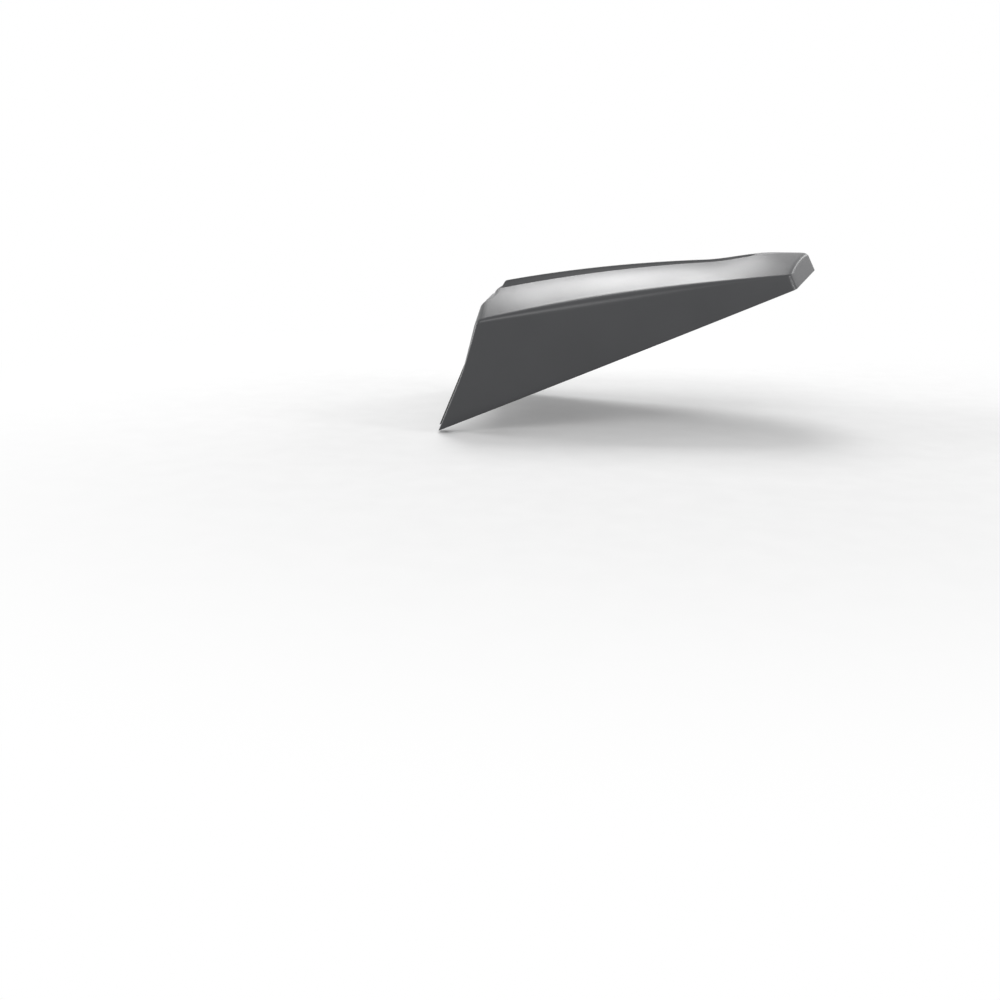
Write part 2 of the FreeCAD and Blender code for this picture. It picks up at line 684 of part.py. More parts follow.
def drilled(name, where, body, hole, high):
    """A disc or prism with a round hole through it."""
    bore = primitive("Cylinder", name + "_hole", where, Radius="(%s) / 2" % hole, Height=high)
    return boolean("Cut", name, body, bore)


def group(label, solids):
    together = doc.addObject("Part::Compound", label)
    together.Links = solids
    fitted(together, label)


def fasteners():
    """Screws, washers and inserts, one of each at every post."""
    screws = []
    washers = []
    inserts = []
    hole = "Sizes.screw_thread + Sizes.screw_clearance"
    thread = "Sizes.screw_thread + Sizes.thread_gap"
    for index, (along, across, turn) in enumerate(POSTS):
        under = place(along, across, "Sizes.post_level - Sizes.sheet_thick - Sizes.washer_thick")
        inside = place(along, across, "Sizes.post_level")
        screws.append(screw(index, along, across))
        disc = primitive(
            "Cylinder", "washer_disc_%d" % index, under,
            Radius="Sizes.washer_wide / 2", Height="Sizes.washer_thick",
        )
        washers.append(drilled("washer_%d" % index, under, disc, hole, "Sizes.washer_thick"))
        nut = hexagon("insert_body_%d" % index, inside, "Sizes.insert_wide", "Sizes.insert_long")
        inserts.append(drilled("insert_%d" % index, inside, nut, thread, "Sizes.insert_long"))
    group("bracket_screws", screws)
    group("screw_washers", washers)
    group("threaded_inserts", inserts)


cowl_shell()
front_edge_trim()
rib_buffer("front_rib_buffer", "Sizes.front_rib_along", "Sizes.front_rib_level")
rib_buffer("rear_rib_buffer", "Sizes.rear_rib_along", "Sizes.rear_rib_level")

LEFT = place("Sizes.side_mid_along", "-Sizes.side_mid_half", "Sizes.post_level", "Sizes.strap_turn")
RIGHT = place("Sizes.side_mid_along", "Sizes.side_mid_half", "Sizes.post_level", "180 deg - Sizes.strap_turn")
REAR = place("Sizes.tail_post_along", "0", "Sizes.post_level", "90")
bracket("left_side_bracket", "Sizes.side_spacing", LEFT)
bracket("right_side_bracket", "Sizes.side_spacing", RIGHT)
bracket("rear_bracket", "Sizes.tail_spacing", REAR)
foot_pad("left_foot_pad", LEFT)
foot_pad("right_foot_pad", RIGHT)
foot_pad("rear_foot_pad", REAR)
fasteners()
doc.recompute()

NODES = [
    "cowl_shell", "front_edge_trim", "front_rib_buffer", "rear_rib_buffer",
    "left_side_bracket", "right_side_bracket", "rear_bracket",
    "left_foot_pad", "right_foot_pad", "rear_foot_pad",
    "bracket_screws", "screw_washers", "threaded_inserts",
]

for item in doc.Objects:
    if "Invalid" in item.State or "Error" in item.State:
        raise RuntimeError("%s did not build: %s" % (item.Name, item.State))
for node in NODES:
    shape = doc.getObject(node).Shape
    if shape.isNull() or not shape.isValid():
        raise RuntimeError("%s has no valid shape" % node)

os.makedirs("parts", exist_ok=True)
for node in NODES:
    doc.getObject(node).Shape.exportStep("parts/%s.step" % node)
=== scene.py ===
import json
import math

import bmesh
import bpy
import numpy as np
from mathutils import Matrix, Vector


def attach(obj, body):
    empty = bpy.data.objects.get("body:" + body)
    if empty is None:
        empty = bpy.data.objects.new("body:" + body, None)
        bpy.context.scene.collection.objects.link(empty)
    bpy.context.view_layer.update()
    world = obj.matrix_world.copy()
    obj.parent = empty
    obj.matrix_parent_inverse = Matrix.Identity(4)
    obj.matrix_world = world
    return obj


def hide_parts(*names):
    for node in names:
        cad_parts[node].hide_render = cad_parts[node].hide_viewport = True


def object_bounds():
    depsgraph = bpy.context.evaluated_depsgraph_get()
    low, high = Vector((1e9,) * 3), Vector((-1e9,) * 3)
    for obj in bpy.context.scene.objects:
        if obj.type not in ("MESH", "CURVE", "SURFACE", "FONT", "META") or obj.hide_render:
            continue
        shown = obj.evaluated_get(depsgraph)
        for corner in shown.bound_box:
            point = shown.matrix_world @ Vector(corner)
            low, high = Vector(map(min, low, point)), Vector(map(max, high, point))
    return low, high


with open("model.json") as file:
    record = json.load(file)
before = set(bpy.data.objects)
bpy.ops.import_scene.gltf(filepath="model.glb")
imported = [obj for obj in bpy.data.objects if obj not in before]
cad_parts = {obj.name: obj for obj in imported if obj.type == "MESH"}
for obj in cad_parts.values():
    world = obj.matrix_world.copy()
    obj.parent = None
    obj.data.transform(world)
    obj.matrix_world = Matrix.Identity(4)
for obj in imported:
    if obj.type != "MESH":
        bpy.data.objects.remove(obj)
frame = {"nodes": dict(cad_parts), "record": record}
cad_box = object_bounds()

# Form of the moulding on its rim plane, in metres: along the rim from the low front corner to the tail,
# across, and above the rim (level). A curve is its value at the front, its value at the tail, and how far
# it bows at mid length.
LENGTH = 0.3595
RAKE = math.radians(21.6)
ORIGIN_ALONG = 0.267
ORIGIN_LEVEL = 0.004
WALL = 0.003
RIM_HALF = (0.120, 0.0544, 0.004)
CREASE_HALF = (0.1125, 0.0534, 0.0055)
CREASE_HIGH = (0.0854, 0.0042, 0.0083)
RIDGE_HALF = (0.064, 0.0046, 0.004)
RIDGE_HIGH = (0.1046, 0.0126, 0.0129)
TAIL_KICK = 0.0060
TAIL_KICK_SPAN = (0.75, 0.92)
CREASE_SOFT_END = 0.0008
CREASE_SOFT_MID = 0.008
SIDE_CROWN = 0.0008
SHOULDER_CROWN = 0.0012

# Channel between the ridges
CHANNEL_DEPTH = 0.009
CHANNEL_FADE = (0.35, 0.885)
CHANNEL_FADE_POWER = 4.5
CHANNEL_DRAFT = math.radians(28)
RIDGE_LAND = 0.002

# Front wall: its lean from square to the rim, the corners of its bulge as (level, along), the lean of the
# ridges' fronts, the notch beside the channel's walls, and the arch that is cut in it
FRONT_LEAN = math.radians(43.4)
NOSE_START = 0.040
NOSE_PEAK = (0.0870, 0.0701)
NOSE_END = (0.0887, 0.0824)
NOSE_BLENDS = (0.009, 0.0010, 0.0008)
RIDGE_FRONT_SLOPE = 0.55
NOTCH_WIDTH = 0.014
ARCH_FLANGE = 0.016
ARCH_HIGH = 0.092
ARCH_RADIUS = 0.045
TRIM_SEAT = 0.009
LIP_PAST_SEAT = 0.0015

# Tail: its end is swept, leaned and rounded at the tip, and the rim rises under it
TAIL_SWEEP = math.radians(26)
TAIL_LEAN = math.radians(6)
TAIL_TIP_RADIUS = 0.010
TAIL_RISE_ALONG = 0.330
TAIL_RISE = math.radians(6)

# Softened edges, the shares of the room beside an edge that they may take, and the sharpest turn (its
# cosine) of a round edge
FRONT_SOFT = 0.002
FRONT_SOFT_CREASE = 0.006
FRONT_SOFT_SPREAD = 0.12
TAIL_SOFT = 0.0032
RIM_SOFT = 0.0008
RIM_ROOM = 0.7
RIM_COLUMNS = 5
BEND_ROOM = 0.45
SHARPEST_TURN = -0.99
RIDGE_SOFT = 0.0009
FLOOR_SOFT = 0.002
FLOOR_SOFT_LEAST = 0.0002

# How far a corner of the section moves in for each metre of wall
CREASE_IN = 0.93
CREASE_DOWN = 0.76
RIDGE_IN = 0.17

# Inside of the moulding
POST_LEVEL = 0.014
POST_RADIUS = 0.006
POST_INSET = 0.014
POST_HOLE = 0.0041
POST_HOLE_DEEP = 0.011
SIDE_POSTS = (0.130, 0.230)
TAIL_POST = (0.300, 0.028)
GUSSET_THICK = 0.0025
RIB_THICK = 0.0025
RIBS = ((0.140, 0.052), (0.215, 0.036))
SUNK = 0.0015
RIB_POINTS = 121
POST_POINTS = 24
TAIL_GUSSET_POINTS = 24
SIDE_GUSSET_POINTS = 40

# Rubber on the arch's edge, as a section (out from the edge along the wall, in through the wall)
TRIM_START = 0.004
TRIM_LEG = ((0.0070, -0.0005), (0.0066, -0.0011), (0.0058, -0.0015), (0.0036, -0.0016), (0.0012, -0.0016),
            (-0.0003, -0.0014), (-0.0014, -0.0008), (-0.0019, 0.0002))
TRIM_STEPS = 90

# Mesh clean-up
MERGE_GAP = 2e-6
LEAST_EDGE = 1e-6
SKIN_SHARP = math.radians(40)
TRIM_SHARP = math.radians(50)

# Samples. WALL_ROWS are the rows on the front wall: arch, seat, lip and face. The columns are those at the
# crease, at the ridge's inner edge and at the edge of the channel's floor.
SKIN_ROWS = 72
ARC_ROWS = 4
WALL_ROWS = 4
ARCH_ROUND_POINTS = 17
ARCH_STRAIGHT_POINTS = 9
SIDE_POINTS = 9
CREASE_POINTS = 9
SHOULDER_POINTS = 30
RIDGE_POINTS = 5
EDGE_POINTS = 4
WALL_POINTS = 2
FLOOR_BEND_POINTS = 5
FLOOR_POINTS = 26
CREASE_COLUMN = 1 + SIDE_POINTS + CREASE_POINTS // 2
EDGE_COLUMN = 1 + SIDE_POINTS + CREASE_POINTS + SHOULDER_POINTS + RIDGE_POINTS
CHANNEL_COLUMN = EDGE_COLUMN + EDGE_POINTS + WALL_POINTS + FLOOR_BEND_POINTS

# Tail's end: its rows as shares of the way from the middle line to the edge, and the middle line's top and
# crease as shares of the heights
TAIL_SHARES = (0.84, 0.66, 0.48, 0.32, 0.21, 0.15, 0.11, 0.08, 0.055, 0.03, 0.0)
END_TOP = 0.7
END_CREASE = 0.55

# A row's places along the rim are found in small steps, from a table of cross-sections
SOLVE_ROUNDS = 60
SOLVE_STEP = 0.45
TABLE_SPAN = (-0.03, 1.03)
TABLE_POINTS = 420
TABLE = np.linspace(*TABLE_SPAN, TABLE_POINTS) * LENGTH

# Camera: the photograph's viewing angle, in the part's frame
CAMERA_AT = Vector((-0.1191, -1.0707, 0.0977))
CAMERA_AHEAD = Vector((-0.0741, 0.9617, -0.2629))
CAMERA_ROLL = math.radians(0.6)
CAMERA_FOCAL_SHARE = 1.127
SENSOR = 36

# Floor: FLOOR_FADE are the distances between which it runs out into white
FLOOR_BELOW = 0.002
FLOOR_HALF = 12.0
FLOOR_GRAIN = 40
FLOOR_LOW = (0.86, 0.86, 0.86)
FLOOR_HIGH = (0.88, 0.88, 0.88)
FLOOR_ROUGH = 0.9
FLOOR_MIDDLE = (-0.08, 0.0, cad_box[0][2] - FLOOR_BELOW)
FLOOR_FADE = (0.25, 0.75)

# Materials: the ends of a noise that count, the drift of tone and gloss, and the grain's bump
NOISE_SPAN = (0.3, 0.7)
DRIFT_SCALE = 14
DRIFT_DETAIL = 3
GRAIN_DETAIL = 4
GRAIN_STRENGTH = 0.4
FLOOR_DETAIL = 2
PLAIN_GLOSS = 0.5
FINISHES = {
    "moulded_shell": {
        "low": (0.023, 0.024, 0.027), "high": (0.029, 0.030, 0.033), "rough": (0.30, 0.36),
        "metallic": 0, "grain": 1600, "grain_depth": 8e-5, "gloss": 0.65,
    },
    "edge_rubber": {
        "low": (0.010, 0.010, 0.010), "high": (0.016, 0.016, 0.016), "rough": (0.6, 0.8),
        "metallic": 0, "grain": 1200, "grain_depth": 0.0002,
    },
    "buffer_rubber": {
        "low": (0.012, 0.012, 0.012), "high": (0.020, 0.020, 0.020), "rough": (0.65, 0.85),
        "metallic": 0, "grain": 900, "grain_depth": 0.0003,
    },
    "coated_steel": {
        "low": (0.020, 0.020, 0.020), "high": (0.029, 0.029, 0.029), "rough": (0.35, 0.5),
        "metallic": 0, "grain": 2200, "grain_depth": 0.0001,
    },
    "fastener_steel": {
        "low": (0.50, 0.50, 0.50), "high": (0.62, 0.62, 0.62), "rough": (0.25, 0.4),
        "metallic": 1, "grain": 1500, "grain_depth": 0.00005,
    },
    "insert_brass": {
        "low": (0.62, 0.43, 0.17), "high": (0.72, 0.52, 0.24), "rough": (0.3, 0.4),
        "metallic": 1, "grain": 1500, "grain_depth": 0.00005,
    },
}

# Light: where each softbox stands, its size and its power; all face one point
LIT_POINT = (-0.08, 0.0, 0.0)
FAR_AT = (-0.15, 0.95, 1.2)
FAR_SIZE = (0.66, 0.75)
FAR_POWER = 11
NEAR_AT = (-0.3, -1.25, 1.1)
NEAR_SIZE = (1.2, 0.5)
NEAR_POWER = 5
FRONT_AT = (-1.6, 0.1, 0.5)
FRONT_SIZE = (0.6, 0.6)
FRONT_POWER = 8
REAR_AT = (1.0, 1.0, 0.75)
REAR_SIZE = (0.5, 0.5)
REAR_POWER = 3
EDGE_AT = (1.25, -0.5, 0.35)
EDGE_SIZE = (0.3, 1.0)
EDGE_POWER = 5
WORLD_LIGHT = 0.45


def bowed(curve, share):
    front, tail, bulge = curve
    return front + (tail - front) * share + 4 * bulge * share * (1 - share)


def eased(share, start, end):
    step = np.clip((share - start) / (end - start), 0, 1)
    return step * step * (3 - 2 * step)


def rim_level(along):
    return np.maximum(0, (along - TAIL_RISE_ALONG) * math.tan(TAIL_RISE))


def straight(start, end, count, crown=0.0):
    """Points between two corners, without them, pushed out by a crown at their middle."""
    start = np.array(start)
    end = np.array(end)
    run = end - start
    out = np.array((-run[1], run[0])) / -np.linalg.norm(run)
    shares = np.linspace(0, 1, count + 2)[1:-1]
    return [start + run * share + out * 4 * crown * share * (1 - share) for share in shares]


def bend(before, corner, after, reach, count):
    """Points of a softened corner, from one side of it to the other."""
    corner = np.array(corner)
    back = np.array(before) - corner
    ahead = np.array(after) - corner
    first = back * min(reach / np.linalg.norm(back), BEND_ROOM)
    last = ahead * min(reach / np.linalg.norm(ahead), BEND_ROOM)
    return [corner + first * (1 - share) ** 2 + last * share ** 2 for share in np.linspace(0, 1, count)]


def section_corners(along, inset):
    """Corners of half a cross-section, and how much of the channel's depth is left there."""
    share = along / LENGTH
    rim = bowed(RIM_HALF, share) - inset
    crease = (bowed(CREASE_HALF, share) - CREASE_IN * inset, bowed(CREASE_HIGH, share) - CREASE_DOWN * inset)
    top = bowed(RIDGE_HIGH, share) + TAIL_KICK * eased(share, *TAIL_KICK_SPAN) - inset
    ridge = (bowed(RIDGE_HALF, share) - RIDGE_IN * inset, top)
    fade = max(share - CHANNEL_FADE[0], 0) / (CHANNEL_FADE[1] - CHANNEL_FADE[0])
    deep = CHANNEL_DEPTH * max(1 - fade ** CHANNEL_FADE_POWER, 0)
    edge = (ridge[0] - max(RIDGE_LAND - inset, RIDGE_SOFT), top)
    floor_half = bowed(RIDGE_HALF, share) - RIDGE_LAND - deep * math.tan(CHANNEL_DRAFT)
    floor_half += inset * (1 / math.cos(CHANNEL_DRAFT) - math.tan(CHANNEL_DRAFT))
    bottom = (min(floor_half, edge[0] - RIDGE_SOFT), top - deep)
    middle = (0.0, top - deep)
    low = rim_level(along)
    foot = (rim + (crease[0] - rim) * low / crease[1], low)
    return foot, crease, ridge, edge, bottom, middle, deep / CHANNEL_DEPTH


def profile(along, inset):
    """Half of the cross-section at a place along the rim: (across, level) from the rim to the middle."""
    foot, crease, ridge, edge, bottom, middle, shallow = section_corners(along, inset)
    share = along / LENGTH
    soft = CREASE_SOFT_END + (CREASE_SOFT_MID - CREASE_SOFT_END) * (4 * share * (1 - share)) ** 2
    crowned = inset == 0
    crease_bend = bend(foot, crease, ridge, soft, CREASE_POINTS)
    ridge_bend = bend(crease, ridge, edge, RIDGE_SOFT, RIDGE_POINTS)
    edge_bend = bend(ridge, edge, bottom, RIDGE_SOFT, EDGE_POINTS)
    floor_bend = bend(edge, bottom, middle, FLOOR_SOFT * shallow + FLOOR_SOFT_LEAST, FLOOR_BEND_POINTS)
    points = [np.array(foot)]
    points += straight(foot, crease_bend[0], SIDE_POINTS, SIDE_CROWN * crowned)
    points += crease_bend
    points += straight(crease_bend[-1], ridge_bend[0], SHOULDER_POINTS, SHOULDER_CROWN * crowned)
    points += ridge_bend
    points += edge_bend
    points += straight(edge_bend[-1], floor_bend[0], WALL_POINTS)
    points += floor_bend
    points += straight(floor_bend[-1], middle, FLOOR_POINTS)
    points.append(np.array(middle))
    return np.array(points)


def front_along(level, inset):
    """Where the front wall stands along the rim at a level above it; the inside of the wall is straight."""
    lean = math.tan(FRONT_LEAN)
    if inset:
        return level * lean + inset / math.cos(FRONT_LEAN)
    corners = ((NOSE_START, NOSE_START * lean), NOSE_PEAK, NOSE_END)
    slopes = [lean]
    for (low, near), (high, far) in zip(corners, corners[1:]):
        slopes.append((far - near) / (high - low))
    slopes.append(RIDGE_FRONT_SLOPE)
    along = level * lean
    for (corner, _), before, after, blend in zip(corners, slopes, slopes[1:], NOSE_BLENDS):
        past = level - corner
        turned = np.clip(past + blend, 0, 2 * blend) ** 2 / (4 * blend) + np.maximum(past - blend, 0)
        along = along + (after - before) * turned
    return along


def tail_along(across, level, inset):
    """Where the tail's end stands along the rim."""
    radius = TAIL_TIP_RADIUS - inset
    tip = LENGTH - inset / math.cos(TAIL_SWEEP) / math.cos(TAIL_LEAN)
    turn = radius * math.sin(TAIL_SWEEP)
    centre = tip - radius / math.cos(TAIL_SWEEP)
    rounded = centre + np.sqrt(radius ** 2 - np.minimum(np.abs(across), turn) ** 2)
    swept = tip - np.abs(across) * math.tan(TAIL_SWEEP)
    return np.where(np.abs(across) < turn, rounded, swept) - level * math.tan(TAIL_LEAN)


def arch_side(grown):
    """Foot and sharp corner of the arch on the front wall, grown by a distance."""
    share = ARCH_HIGH * math.sin(FRONT_LEAN) / LENGTH
    low = RIM_HALF[0] - ARCH_FLANGE
    flare = (bowed(RIM_HALF, share) - bowed(CREASE_HALF, share)) / bowed(CREASE_HIGH, share)
    high = bowed(RIM_HALF, share) - flare * ARCH_HIGH * math.cos(FRONT_LEAN) - ARCH_FLANGE
    taper = (low - high) / ARCH_HIGH
    slant = math.hypot(1, taper)
    top = ARCH_HIGH + grown
    foot = np.array((low + grown * slant, 0.0))
    corner = np.array((low + grown * slant - taper * top, top))
    return foot, corner


def arch_line(grown):
    """Half of the arch on the front wall, grown by a distance, from the rim to the middle.

    Its points are (across, up the wall), and the index of its corner's middle comes with them.
    """
    foot, corner = arch_side(grown)
    side = (foot - corner) / np.linalg.norm(foot - corner)
    inward = np.array((-1.0, 0.0))
    half_angle = math.acos(side @ inward) / 2
    radius = ARCH_RADIUS + grown
    bisector = (side + inward) / np.linalg.norm(side + inward)
    centre = corner + bisector * radius / math.sin(half_angle)
    first = corner + side * radius / math.tan(half_angle) - centre
    last = corner + inward * radius / math.tan(half_angle) - centre
    ends = (math.atan2(first[1], first[0]), math.atan2(last[1], last[0]))
    turns = np.linspace(*ends, ARCH_ROUND_POINTS)
    round_part = [centre + radius * np.array((math.cos(turn), math.sin(turn))) for turn in turns]
    shares = np.linspace(0, 1, ARCH_STRAIGHT_POINTS)
    line = [foot + (round_part[0] - foot) * share for share in shares[:-1]]
    corner_index = len(line) + len(round_part) // 2
    line += round_part
    middle = np.array((0.0, corner[1]))
    line += [round_part[-1] + (middle - round_part[-1]) * share for share in shares[1:]]
    return np.array(line), corner_index


def lengths(points):
    return np.concatenate(([0], np.cumsum(np.linalg.norm(np.diff(points, axis=0), axis=1))))


def arch_points(marks, corner_mark, grown):
    """Points of the arch at shares of its run, with the mark of the crease at the arch's corner."""
    line, corner_index = arch_line(grown)
    run = lengths(line)
    target = np.interp(marks, [0, corner_mark, 1], [0, run[corner_index], run[-1]])
    return np.stack([np.interp(target, run, line[:, axis]) for axis in (0, 1)], axis=1)


def on_wall(points, inset, bulged=False):
    """Points (across, up the wall) as (along, across, level), on the front wall's flat or on its bulge."""
    level = points[:, 1] * math.cos(FRONT_LEAN)
    flat = level * math.tan(FRONT_LEAN) + inset / math.cos(FRONT_LEAN)
    along = np.minimum(flat, front_along(level, 0)) if bulged else flat
    return np.stack([along, points[:, 0], level], axis=1)


def unit(vectors):
    return vectors / np.linalg.norm(vectors, axis=-1, keepdims=True)


def arcs(start, corner, end, count):
    """Rows of a round edge between two rows of points, with the sharp edge given; the ends are left out."""
    turn = np.sum(unit(corner - start) * unit(end - corner), axis=-1, keepdims=True)
    weight = np.sqrt((1 + np.clip(turn, SHARPEST_TURN, 1)) / 2)
    rows = []
    for share in np.linspace(0, 1, count + 2)[1:-1]:
        parts = ((1 - share) ** 2, 2 * share * (1 - share) * weight, share ** 2)
        rows.append((parts[0] * start + parts[1] * corner + parts[2] * end) / sum(parts))
    return rows


class Sheet:
    """The outer or inner face of the moulding, right half: rows from the arch over the roof to the tail."""

    def __init__(self, inset):
        self.inset = inset
        table = np.array([profile(along, inset) for along in TABLE])
        self.across = table[:, :, 0]
        self.level = table[:, :, 1]

    def row(self, share, front_gap=0.0, tail_gap=0.0):
        """One row of the skin at a share of the way from the front edge to the tail edge."""
        columns = self.across.shape[1]
        along = np.full(columns, share * LENGTH)
        for _ in range(SOLVE_ROUNDS):
            across, level = self.at(along)
            first = self.front(across, level) + front_gap
            last = tail_along(across, level, self.inset) - tail_gap
            along += SOLVE_STEP * (first * (1 - share) + last * share - along)
        across, level = self.at(along)
        return np.stack([along, across, level], axis=1)

    def front(self, across, level):
        """The front edge along the rim. Beside its walls the channel is notched back to the ridges."""
        along = front_along(level, self.inset)
        if self.inset:
            return along
        ridge = along[EDGE_COLUMN] - RIDGE_FRONT_SLOPE * (level[EDGE_COLUMN] - level)
        clear = eased(across[CHANNEL_COLUMN] - across, 0, NOTCH_WIDTH)
        along[EDGE_COLUMN:] = (ridge + (along - ridge) * clear)[EDGE_COLUMN:]
        return along

    def at(self, along):
        columns = range(self.across.shape[1])
        across = np.array([np.interp(along[index], TABLE, self.across[:, index]) for index in columns])
        level = np.array([np.interp(along[index], TABLE, self.level[:, index]) for index in columns])
        return across, level

    def end_column(self, edge):
        """Levels on the middle line of the tail's end that the edge's points are drawn in to."""
        foot = rim_level(tail_along(0.0, 0.0, self.inset))
        top = foot + (edge[-1, 2] - foot) * END_TOP
        index = np.arange(len(edge))
        return foot + (top - foot) * np.interp(index, [0, CREASE_COLUMN, len(edge) - 1], [0, END_CREASE, 1])

    def end_row(self, edge, shares):
        """A row on the tail's end, between its edge and its middle line."""
        across = edge[:, 1] * shares
        level = edge[:, 2] * shares + self.end_column(edge) * (1 - shares)
        return np.stack([tail_along(across, level, self.inset), across, level], axis=1)


def outer_rows(sheet, marks, corner_mark):
    front = sheet.row(0.0)
    tail = sheet.row(1.0)
    near_crease = np.exp(-((marks - corner_mark) / FRONT_SOFT_SPREAD) ** 2)
    soft = FRONT_SOFT + (FRONT_SOFT_CREASE - FRONT_SOFT) * near_crease
    skin = [sheet.row(share, soft, TAIL_SOFT) for share in np.linspace(0, 1, SKIN_ROWS)]
    arch = on_wall(arch_points(marks, corner_mark, 0.0), 0.0)
    seat = on_wall(arch_points(marks, corner_mark, TRIM_SEAT), 0.0)
    lip = on_wall(arch_points(marks, corner_mark, TRIM_SEAT + LIP_PAST_SEAT), 0.0, bulged=True)
    face = front + unit(lip - front) * soft[:, None]
    rows = [arch, seat, lip, face] + arcs(face, front, skin[0], ARC_ROWS) + skin
    reach = np.hypot(tail[:, 1], tail[:, 2] - sheet.end_column(tail))
    kept = 1 - TAIL_SOFT / reach
    end = sheet.end_row(tail, kept)
    rows += arcs(skin[-1], tail, end, ARC_ROWS) + [end]
    rows += [sheet.end_row(tail, kept * share) for share in TAIL_SHARES]
    return np.array(rows)


def inner_rows(sheet, marks, corner_mark):
    front = sheet.row(0.0)
    tail = sheet.row(1.0)
    arch = on_wall(arch_points(marks, corner_mark, 0.0), WALL)
    skin = [sheet.row(share) for share in np.linspace(0, 1, SKIN_ROWS)]
    shares = np.linspace(0, 1, WALL_ROWS + ARC_ROWS, endpoint=False)
    rows = [arch + (front - arch) * share for share in shares]
    rows += skin
    shares = np.linspace(1, TAIL_SHARES[0], ARC_ROWS + 2, endpoint=False)[1:]
    rows += [sheet.end_row(tail, share) for share in (*shares, *TAIL_SHARES)]
    return np.array(rows)


def soften_rim(outer, inner):
    """Replace the outer sheet's rim by a round edge towards the inner sheet."""
    corner = outer[:, 0]
    up = outer[:, 1] - corner
    inward = inner[:, 0] - corner
    room = np.minimum(np.linalg.norm(up, axis=1), np.linalg.norm(inward, axis=1))
    reach = np.minimum(RIM_SOFT, RIM_ROOM * room)[:, None]
    first = corner + unit(inward) * reach
    last = corner + unit(up) * reach
    columns = [first] + arcs(first, corner, last, RIM_COLUMNS - 2) + [last]
    return np.concatenate([np.stack(columns, axis=1), outer[:, 1:]], axis=1)


def fitted(points):
    """From the rim plane to the part's frame."""
    points = np.asarray(points, float).reshape(-1, 3)
    along = points[:, 0] - ORIGIN_ALONG
    level = points[:, 2] - ORIGIN_LEVEL
    x = along * math.cos(RAKE) - level * math.sin(RAKE)
    z = along * math.sin(RAKE) + level * math.cos(RAKE)
    return np.stack([x, points[:, 1], z], axis=1)


class Builder:
    """Collects faces by their corner points and makes one mesh of them."""

    def __init__(self):
        self.mesh = bmesh.new()

    def quads(self, rows, closed=False):
        """A patch of quads through rows of points."""
        made = [[self.mesh.verts.new(point) for point in fitted(row)] for row in rows]
        width = len(made[0])
        for near, far in zip(made, made[1:]):
            for index in range(width if closed else width - 1):
                after = (index + 1) % width
                self.mesh.faces.new((near[index], near[after], far[after], far[index]))

    def both_sides(self, rows):
        rows = np.asarray(rows)
        self.quads(rows)
        self.quads(rows * np.array((1, -1, 1)))

    def finish(self, name, sharp):
        bmesh.ops.remove_doubles(self.mesh, verts=self.mesh.verts, dist=MERGE_GAP)
        bmesh.ops.dissolve_degenerate(self.mesh, edges=self.mesh.edges, dist=LEAST_EDGE)
        bmesh.ops.recalc_face_normals(self.mesh, faces=self.mesh.faces)
        data = bpy.data.meshes.new(name)
        self.mesh.to_mesh(data)
        self.mesh.free()
        data.polygons.foreach_set("use_smooth", [True] * len(data.polygons))
        data.set_sharp_from_angle(angle=sharp)
        thing = bpy.data.objects.new(name, data)
        bpy.context.scene.collection.objects.link(thing)
        return thing


def roof(sheet, along, across):
    """Level of a sheet above a place on the rim plane."""
    row = np.argmin(np.abs(TABLE - along))
    return np.interp(across, sheet.across[row][::-1], sheet.level[row][::-1])


def plate(build, corners, thick):
    """A closed plate through pairs of (low, high) points, thickened to both sides by a vector."""
    low = np.array([pair[0] for pair in corners])
    high = np.array([pair[1] for pair in corners])
    thick = np.array(thick) / 2
    build.quads([low - thick, high - thick, high + thick, low + thick, low - thick])
    for end in (0, -1):
        build.quads([[low[end] - thick, high[end] - thick], [low[end] + thick, high[end] + thick]])


def rib(build, sunk, along, level):
    reach = np.linspace(-RIM_HALF[0], RIM_HALF[0], RIB_POINTS)
    kept = [across for across in reach if roof(sunk, along, abs(across)) > level + SUNK]
    pairs = [((along, across, level), (along, across, roof(sunk, along, abs(across)))) for across in kept]
    plate(build, pairs, (RIB_THICK, 0, 0))


def post(build, sunk, along, across):
    turns = np.linspace(0, 2 * math.pi, POST_POINTS, endpoint=False)

    def ring(radius, level=None):
        points = []
        for turn in turns:
            place = (along + radius * math.cos(turn), across + radius * math.sin(turn))
            high = roof(sunk, place[0], abs(place[1])) if level is None else level
            points.append((*place, high))
        return points

    hole_top = POST_LEVEL + POST_HOLE_DEEP
    rows = [ring(POST_RADIUS), ring(POST_RADIUS, POST_LEVEL), ring(POST_HOLE, POST_LEVEL)]
    rows += [ring(POST_HOLE, hole_top), ring(0, hole_top)]
    build.quads(rows, closed=True)
    build.quads([ring(POST_RADIUS), ring(0)], closed=True)


def gusset(build, sunk, along, across):
    """A plate from a post to the side wall, or to the tail's end."""
    pairs = []
    if along == TAIL_POST[0]:
        last = tail_along(across, POST_LEVEL, SUNK)
        for place in np.linspace(along + POST_RADIUS / 2, last, TAIL_GUSSET_POINTS):
            pairs.append(((place, across, POST_LEVEL), (place, across, roof(sunk, place, abs(across)))))
        plate(build, pairs, (0, GUSSET_THICK, 0))
        return
    out = math.copysign(1, across)
    for step in np.linspace(POST_RADIUS / 2, 2 * POST_INSET, SIDE_GUSSET_POINTS):
        place = across + out * step
        high = roof(sunk, along, abs(place))
        if high > POST_LEVEL + SUNK:
            pairs.append(((along, place, POST_LEVEL), (along, place, high)))
    plate(build, pairs, (GUSSET_THICK, 0, 0))


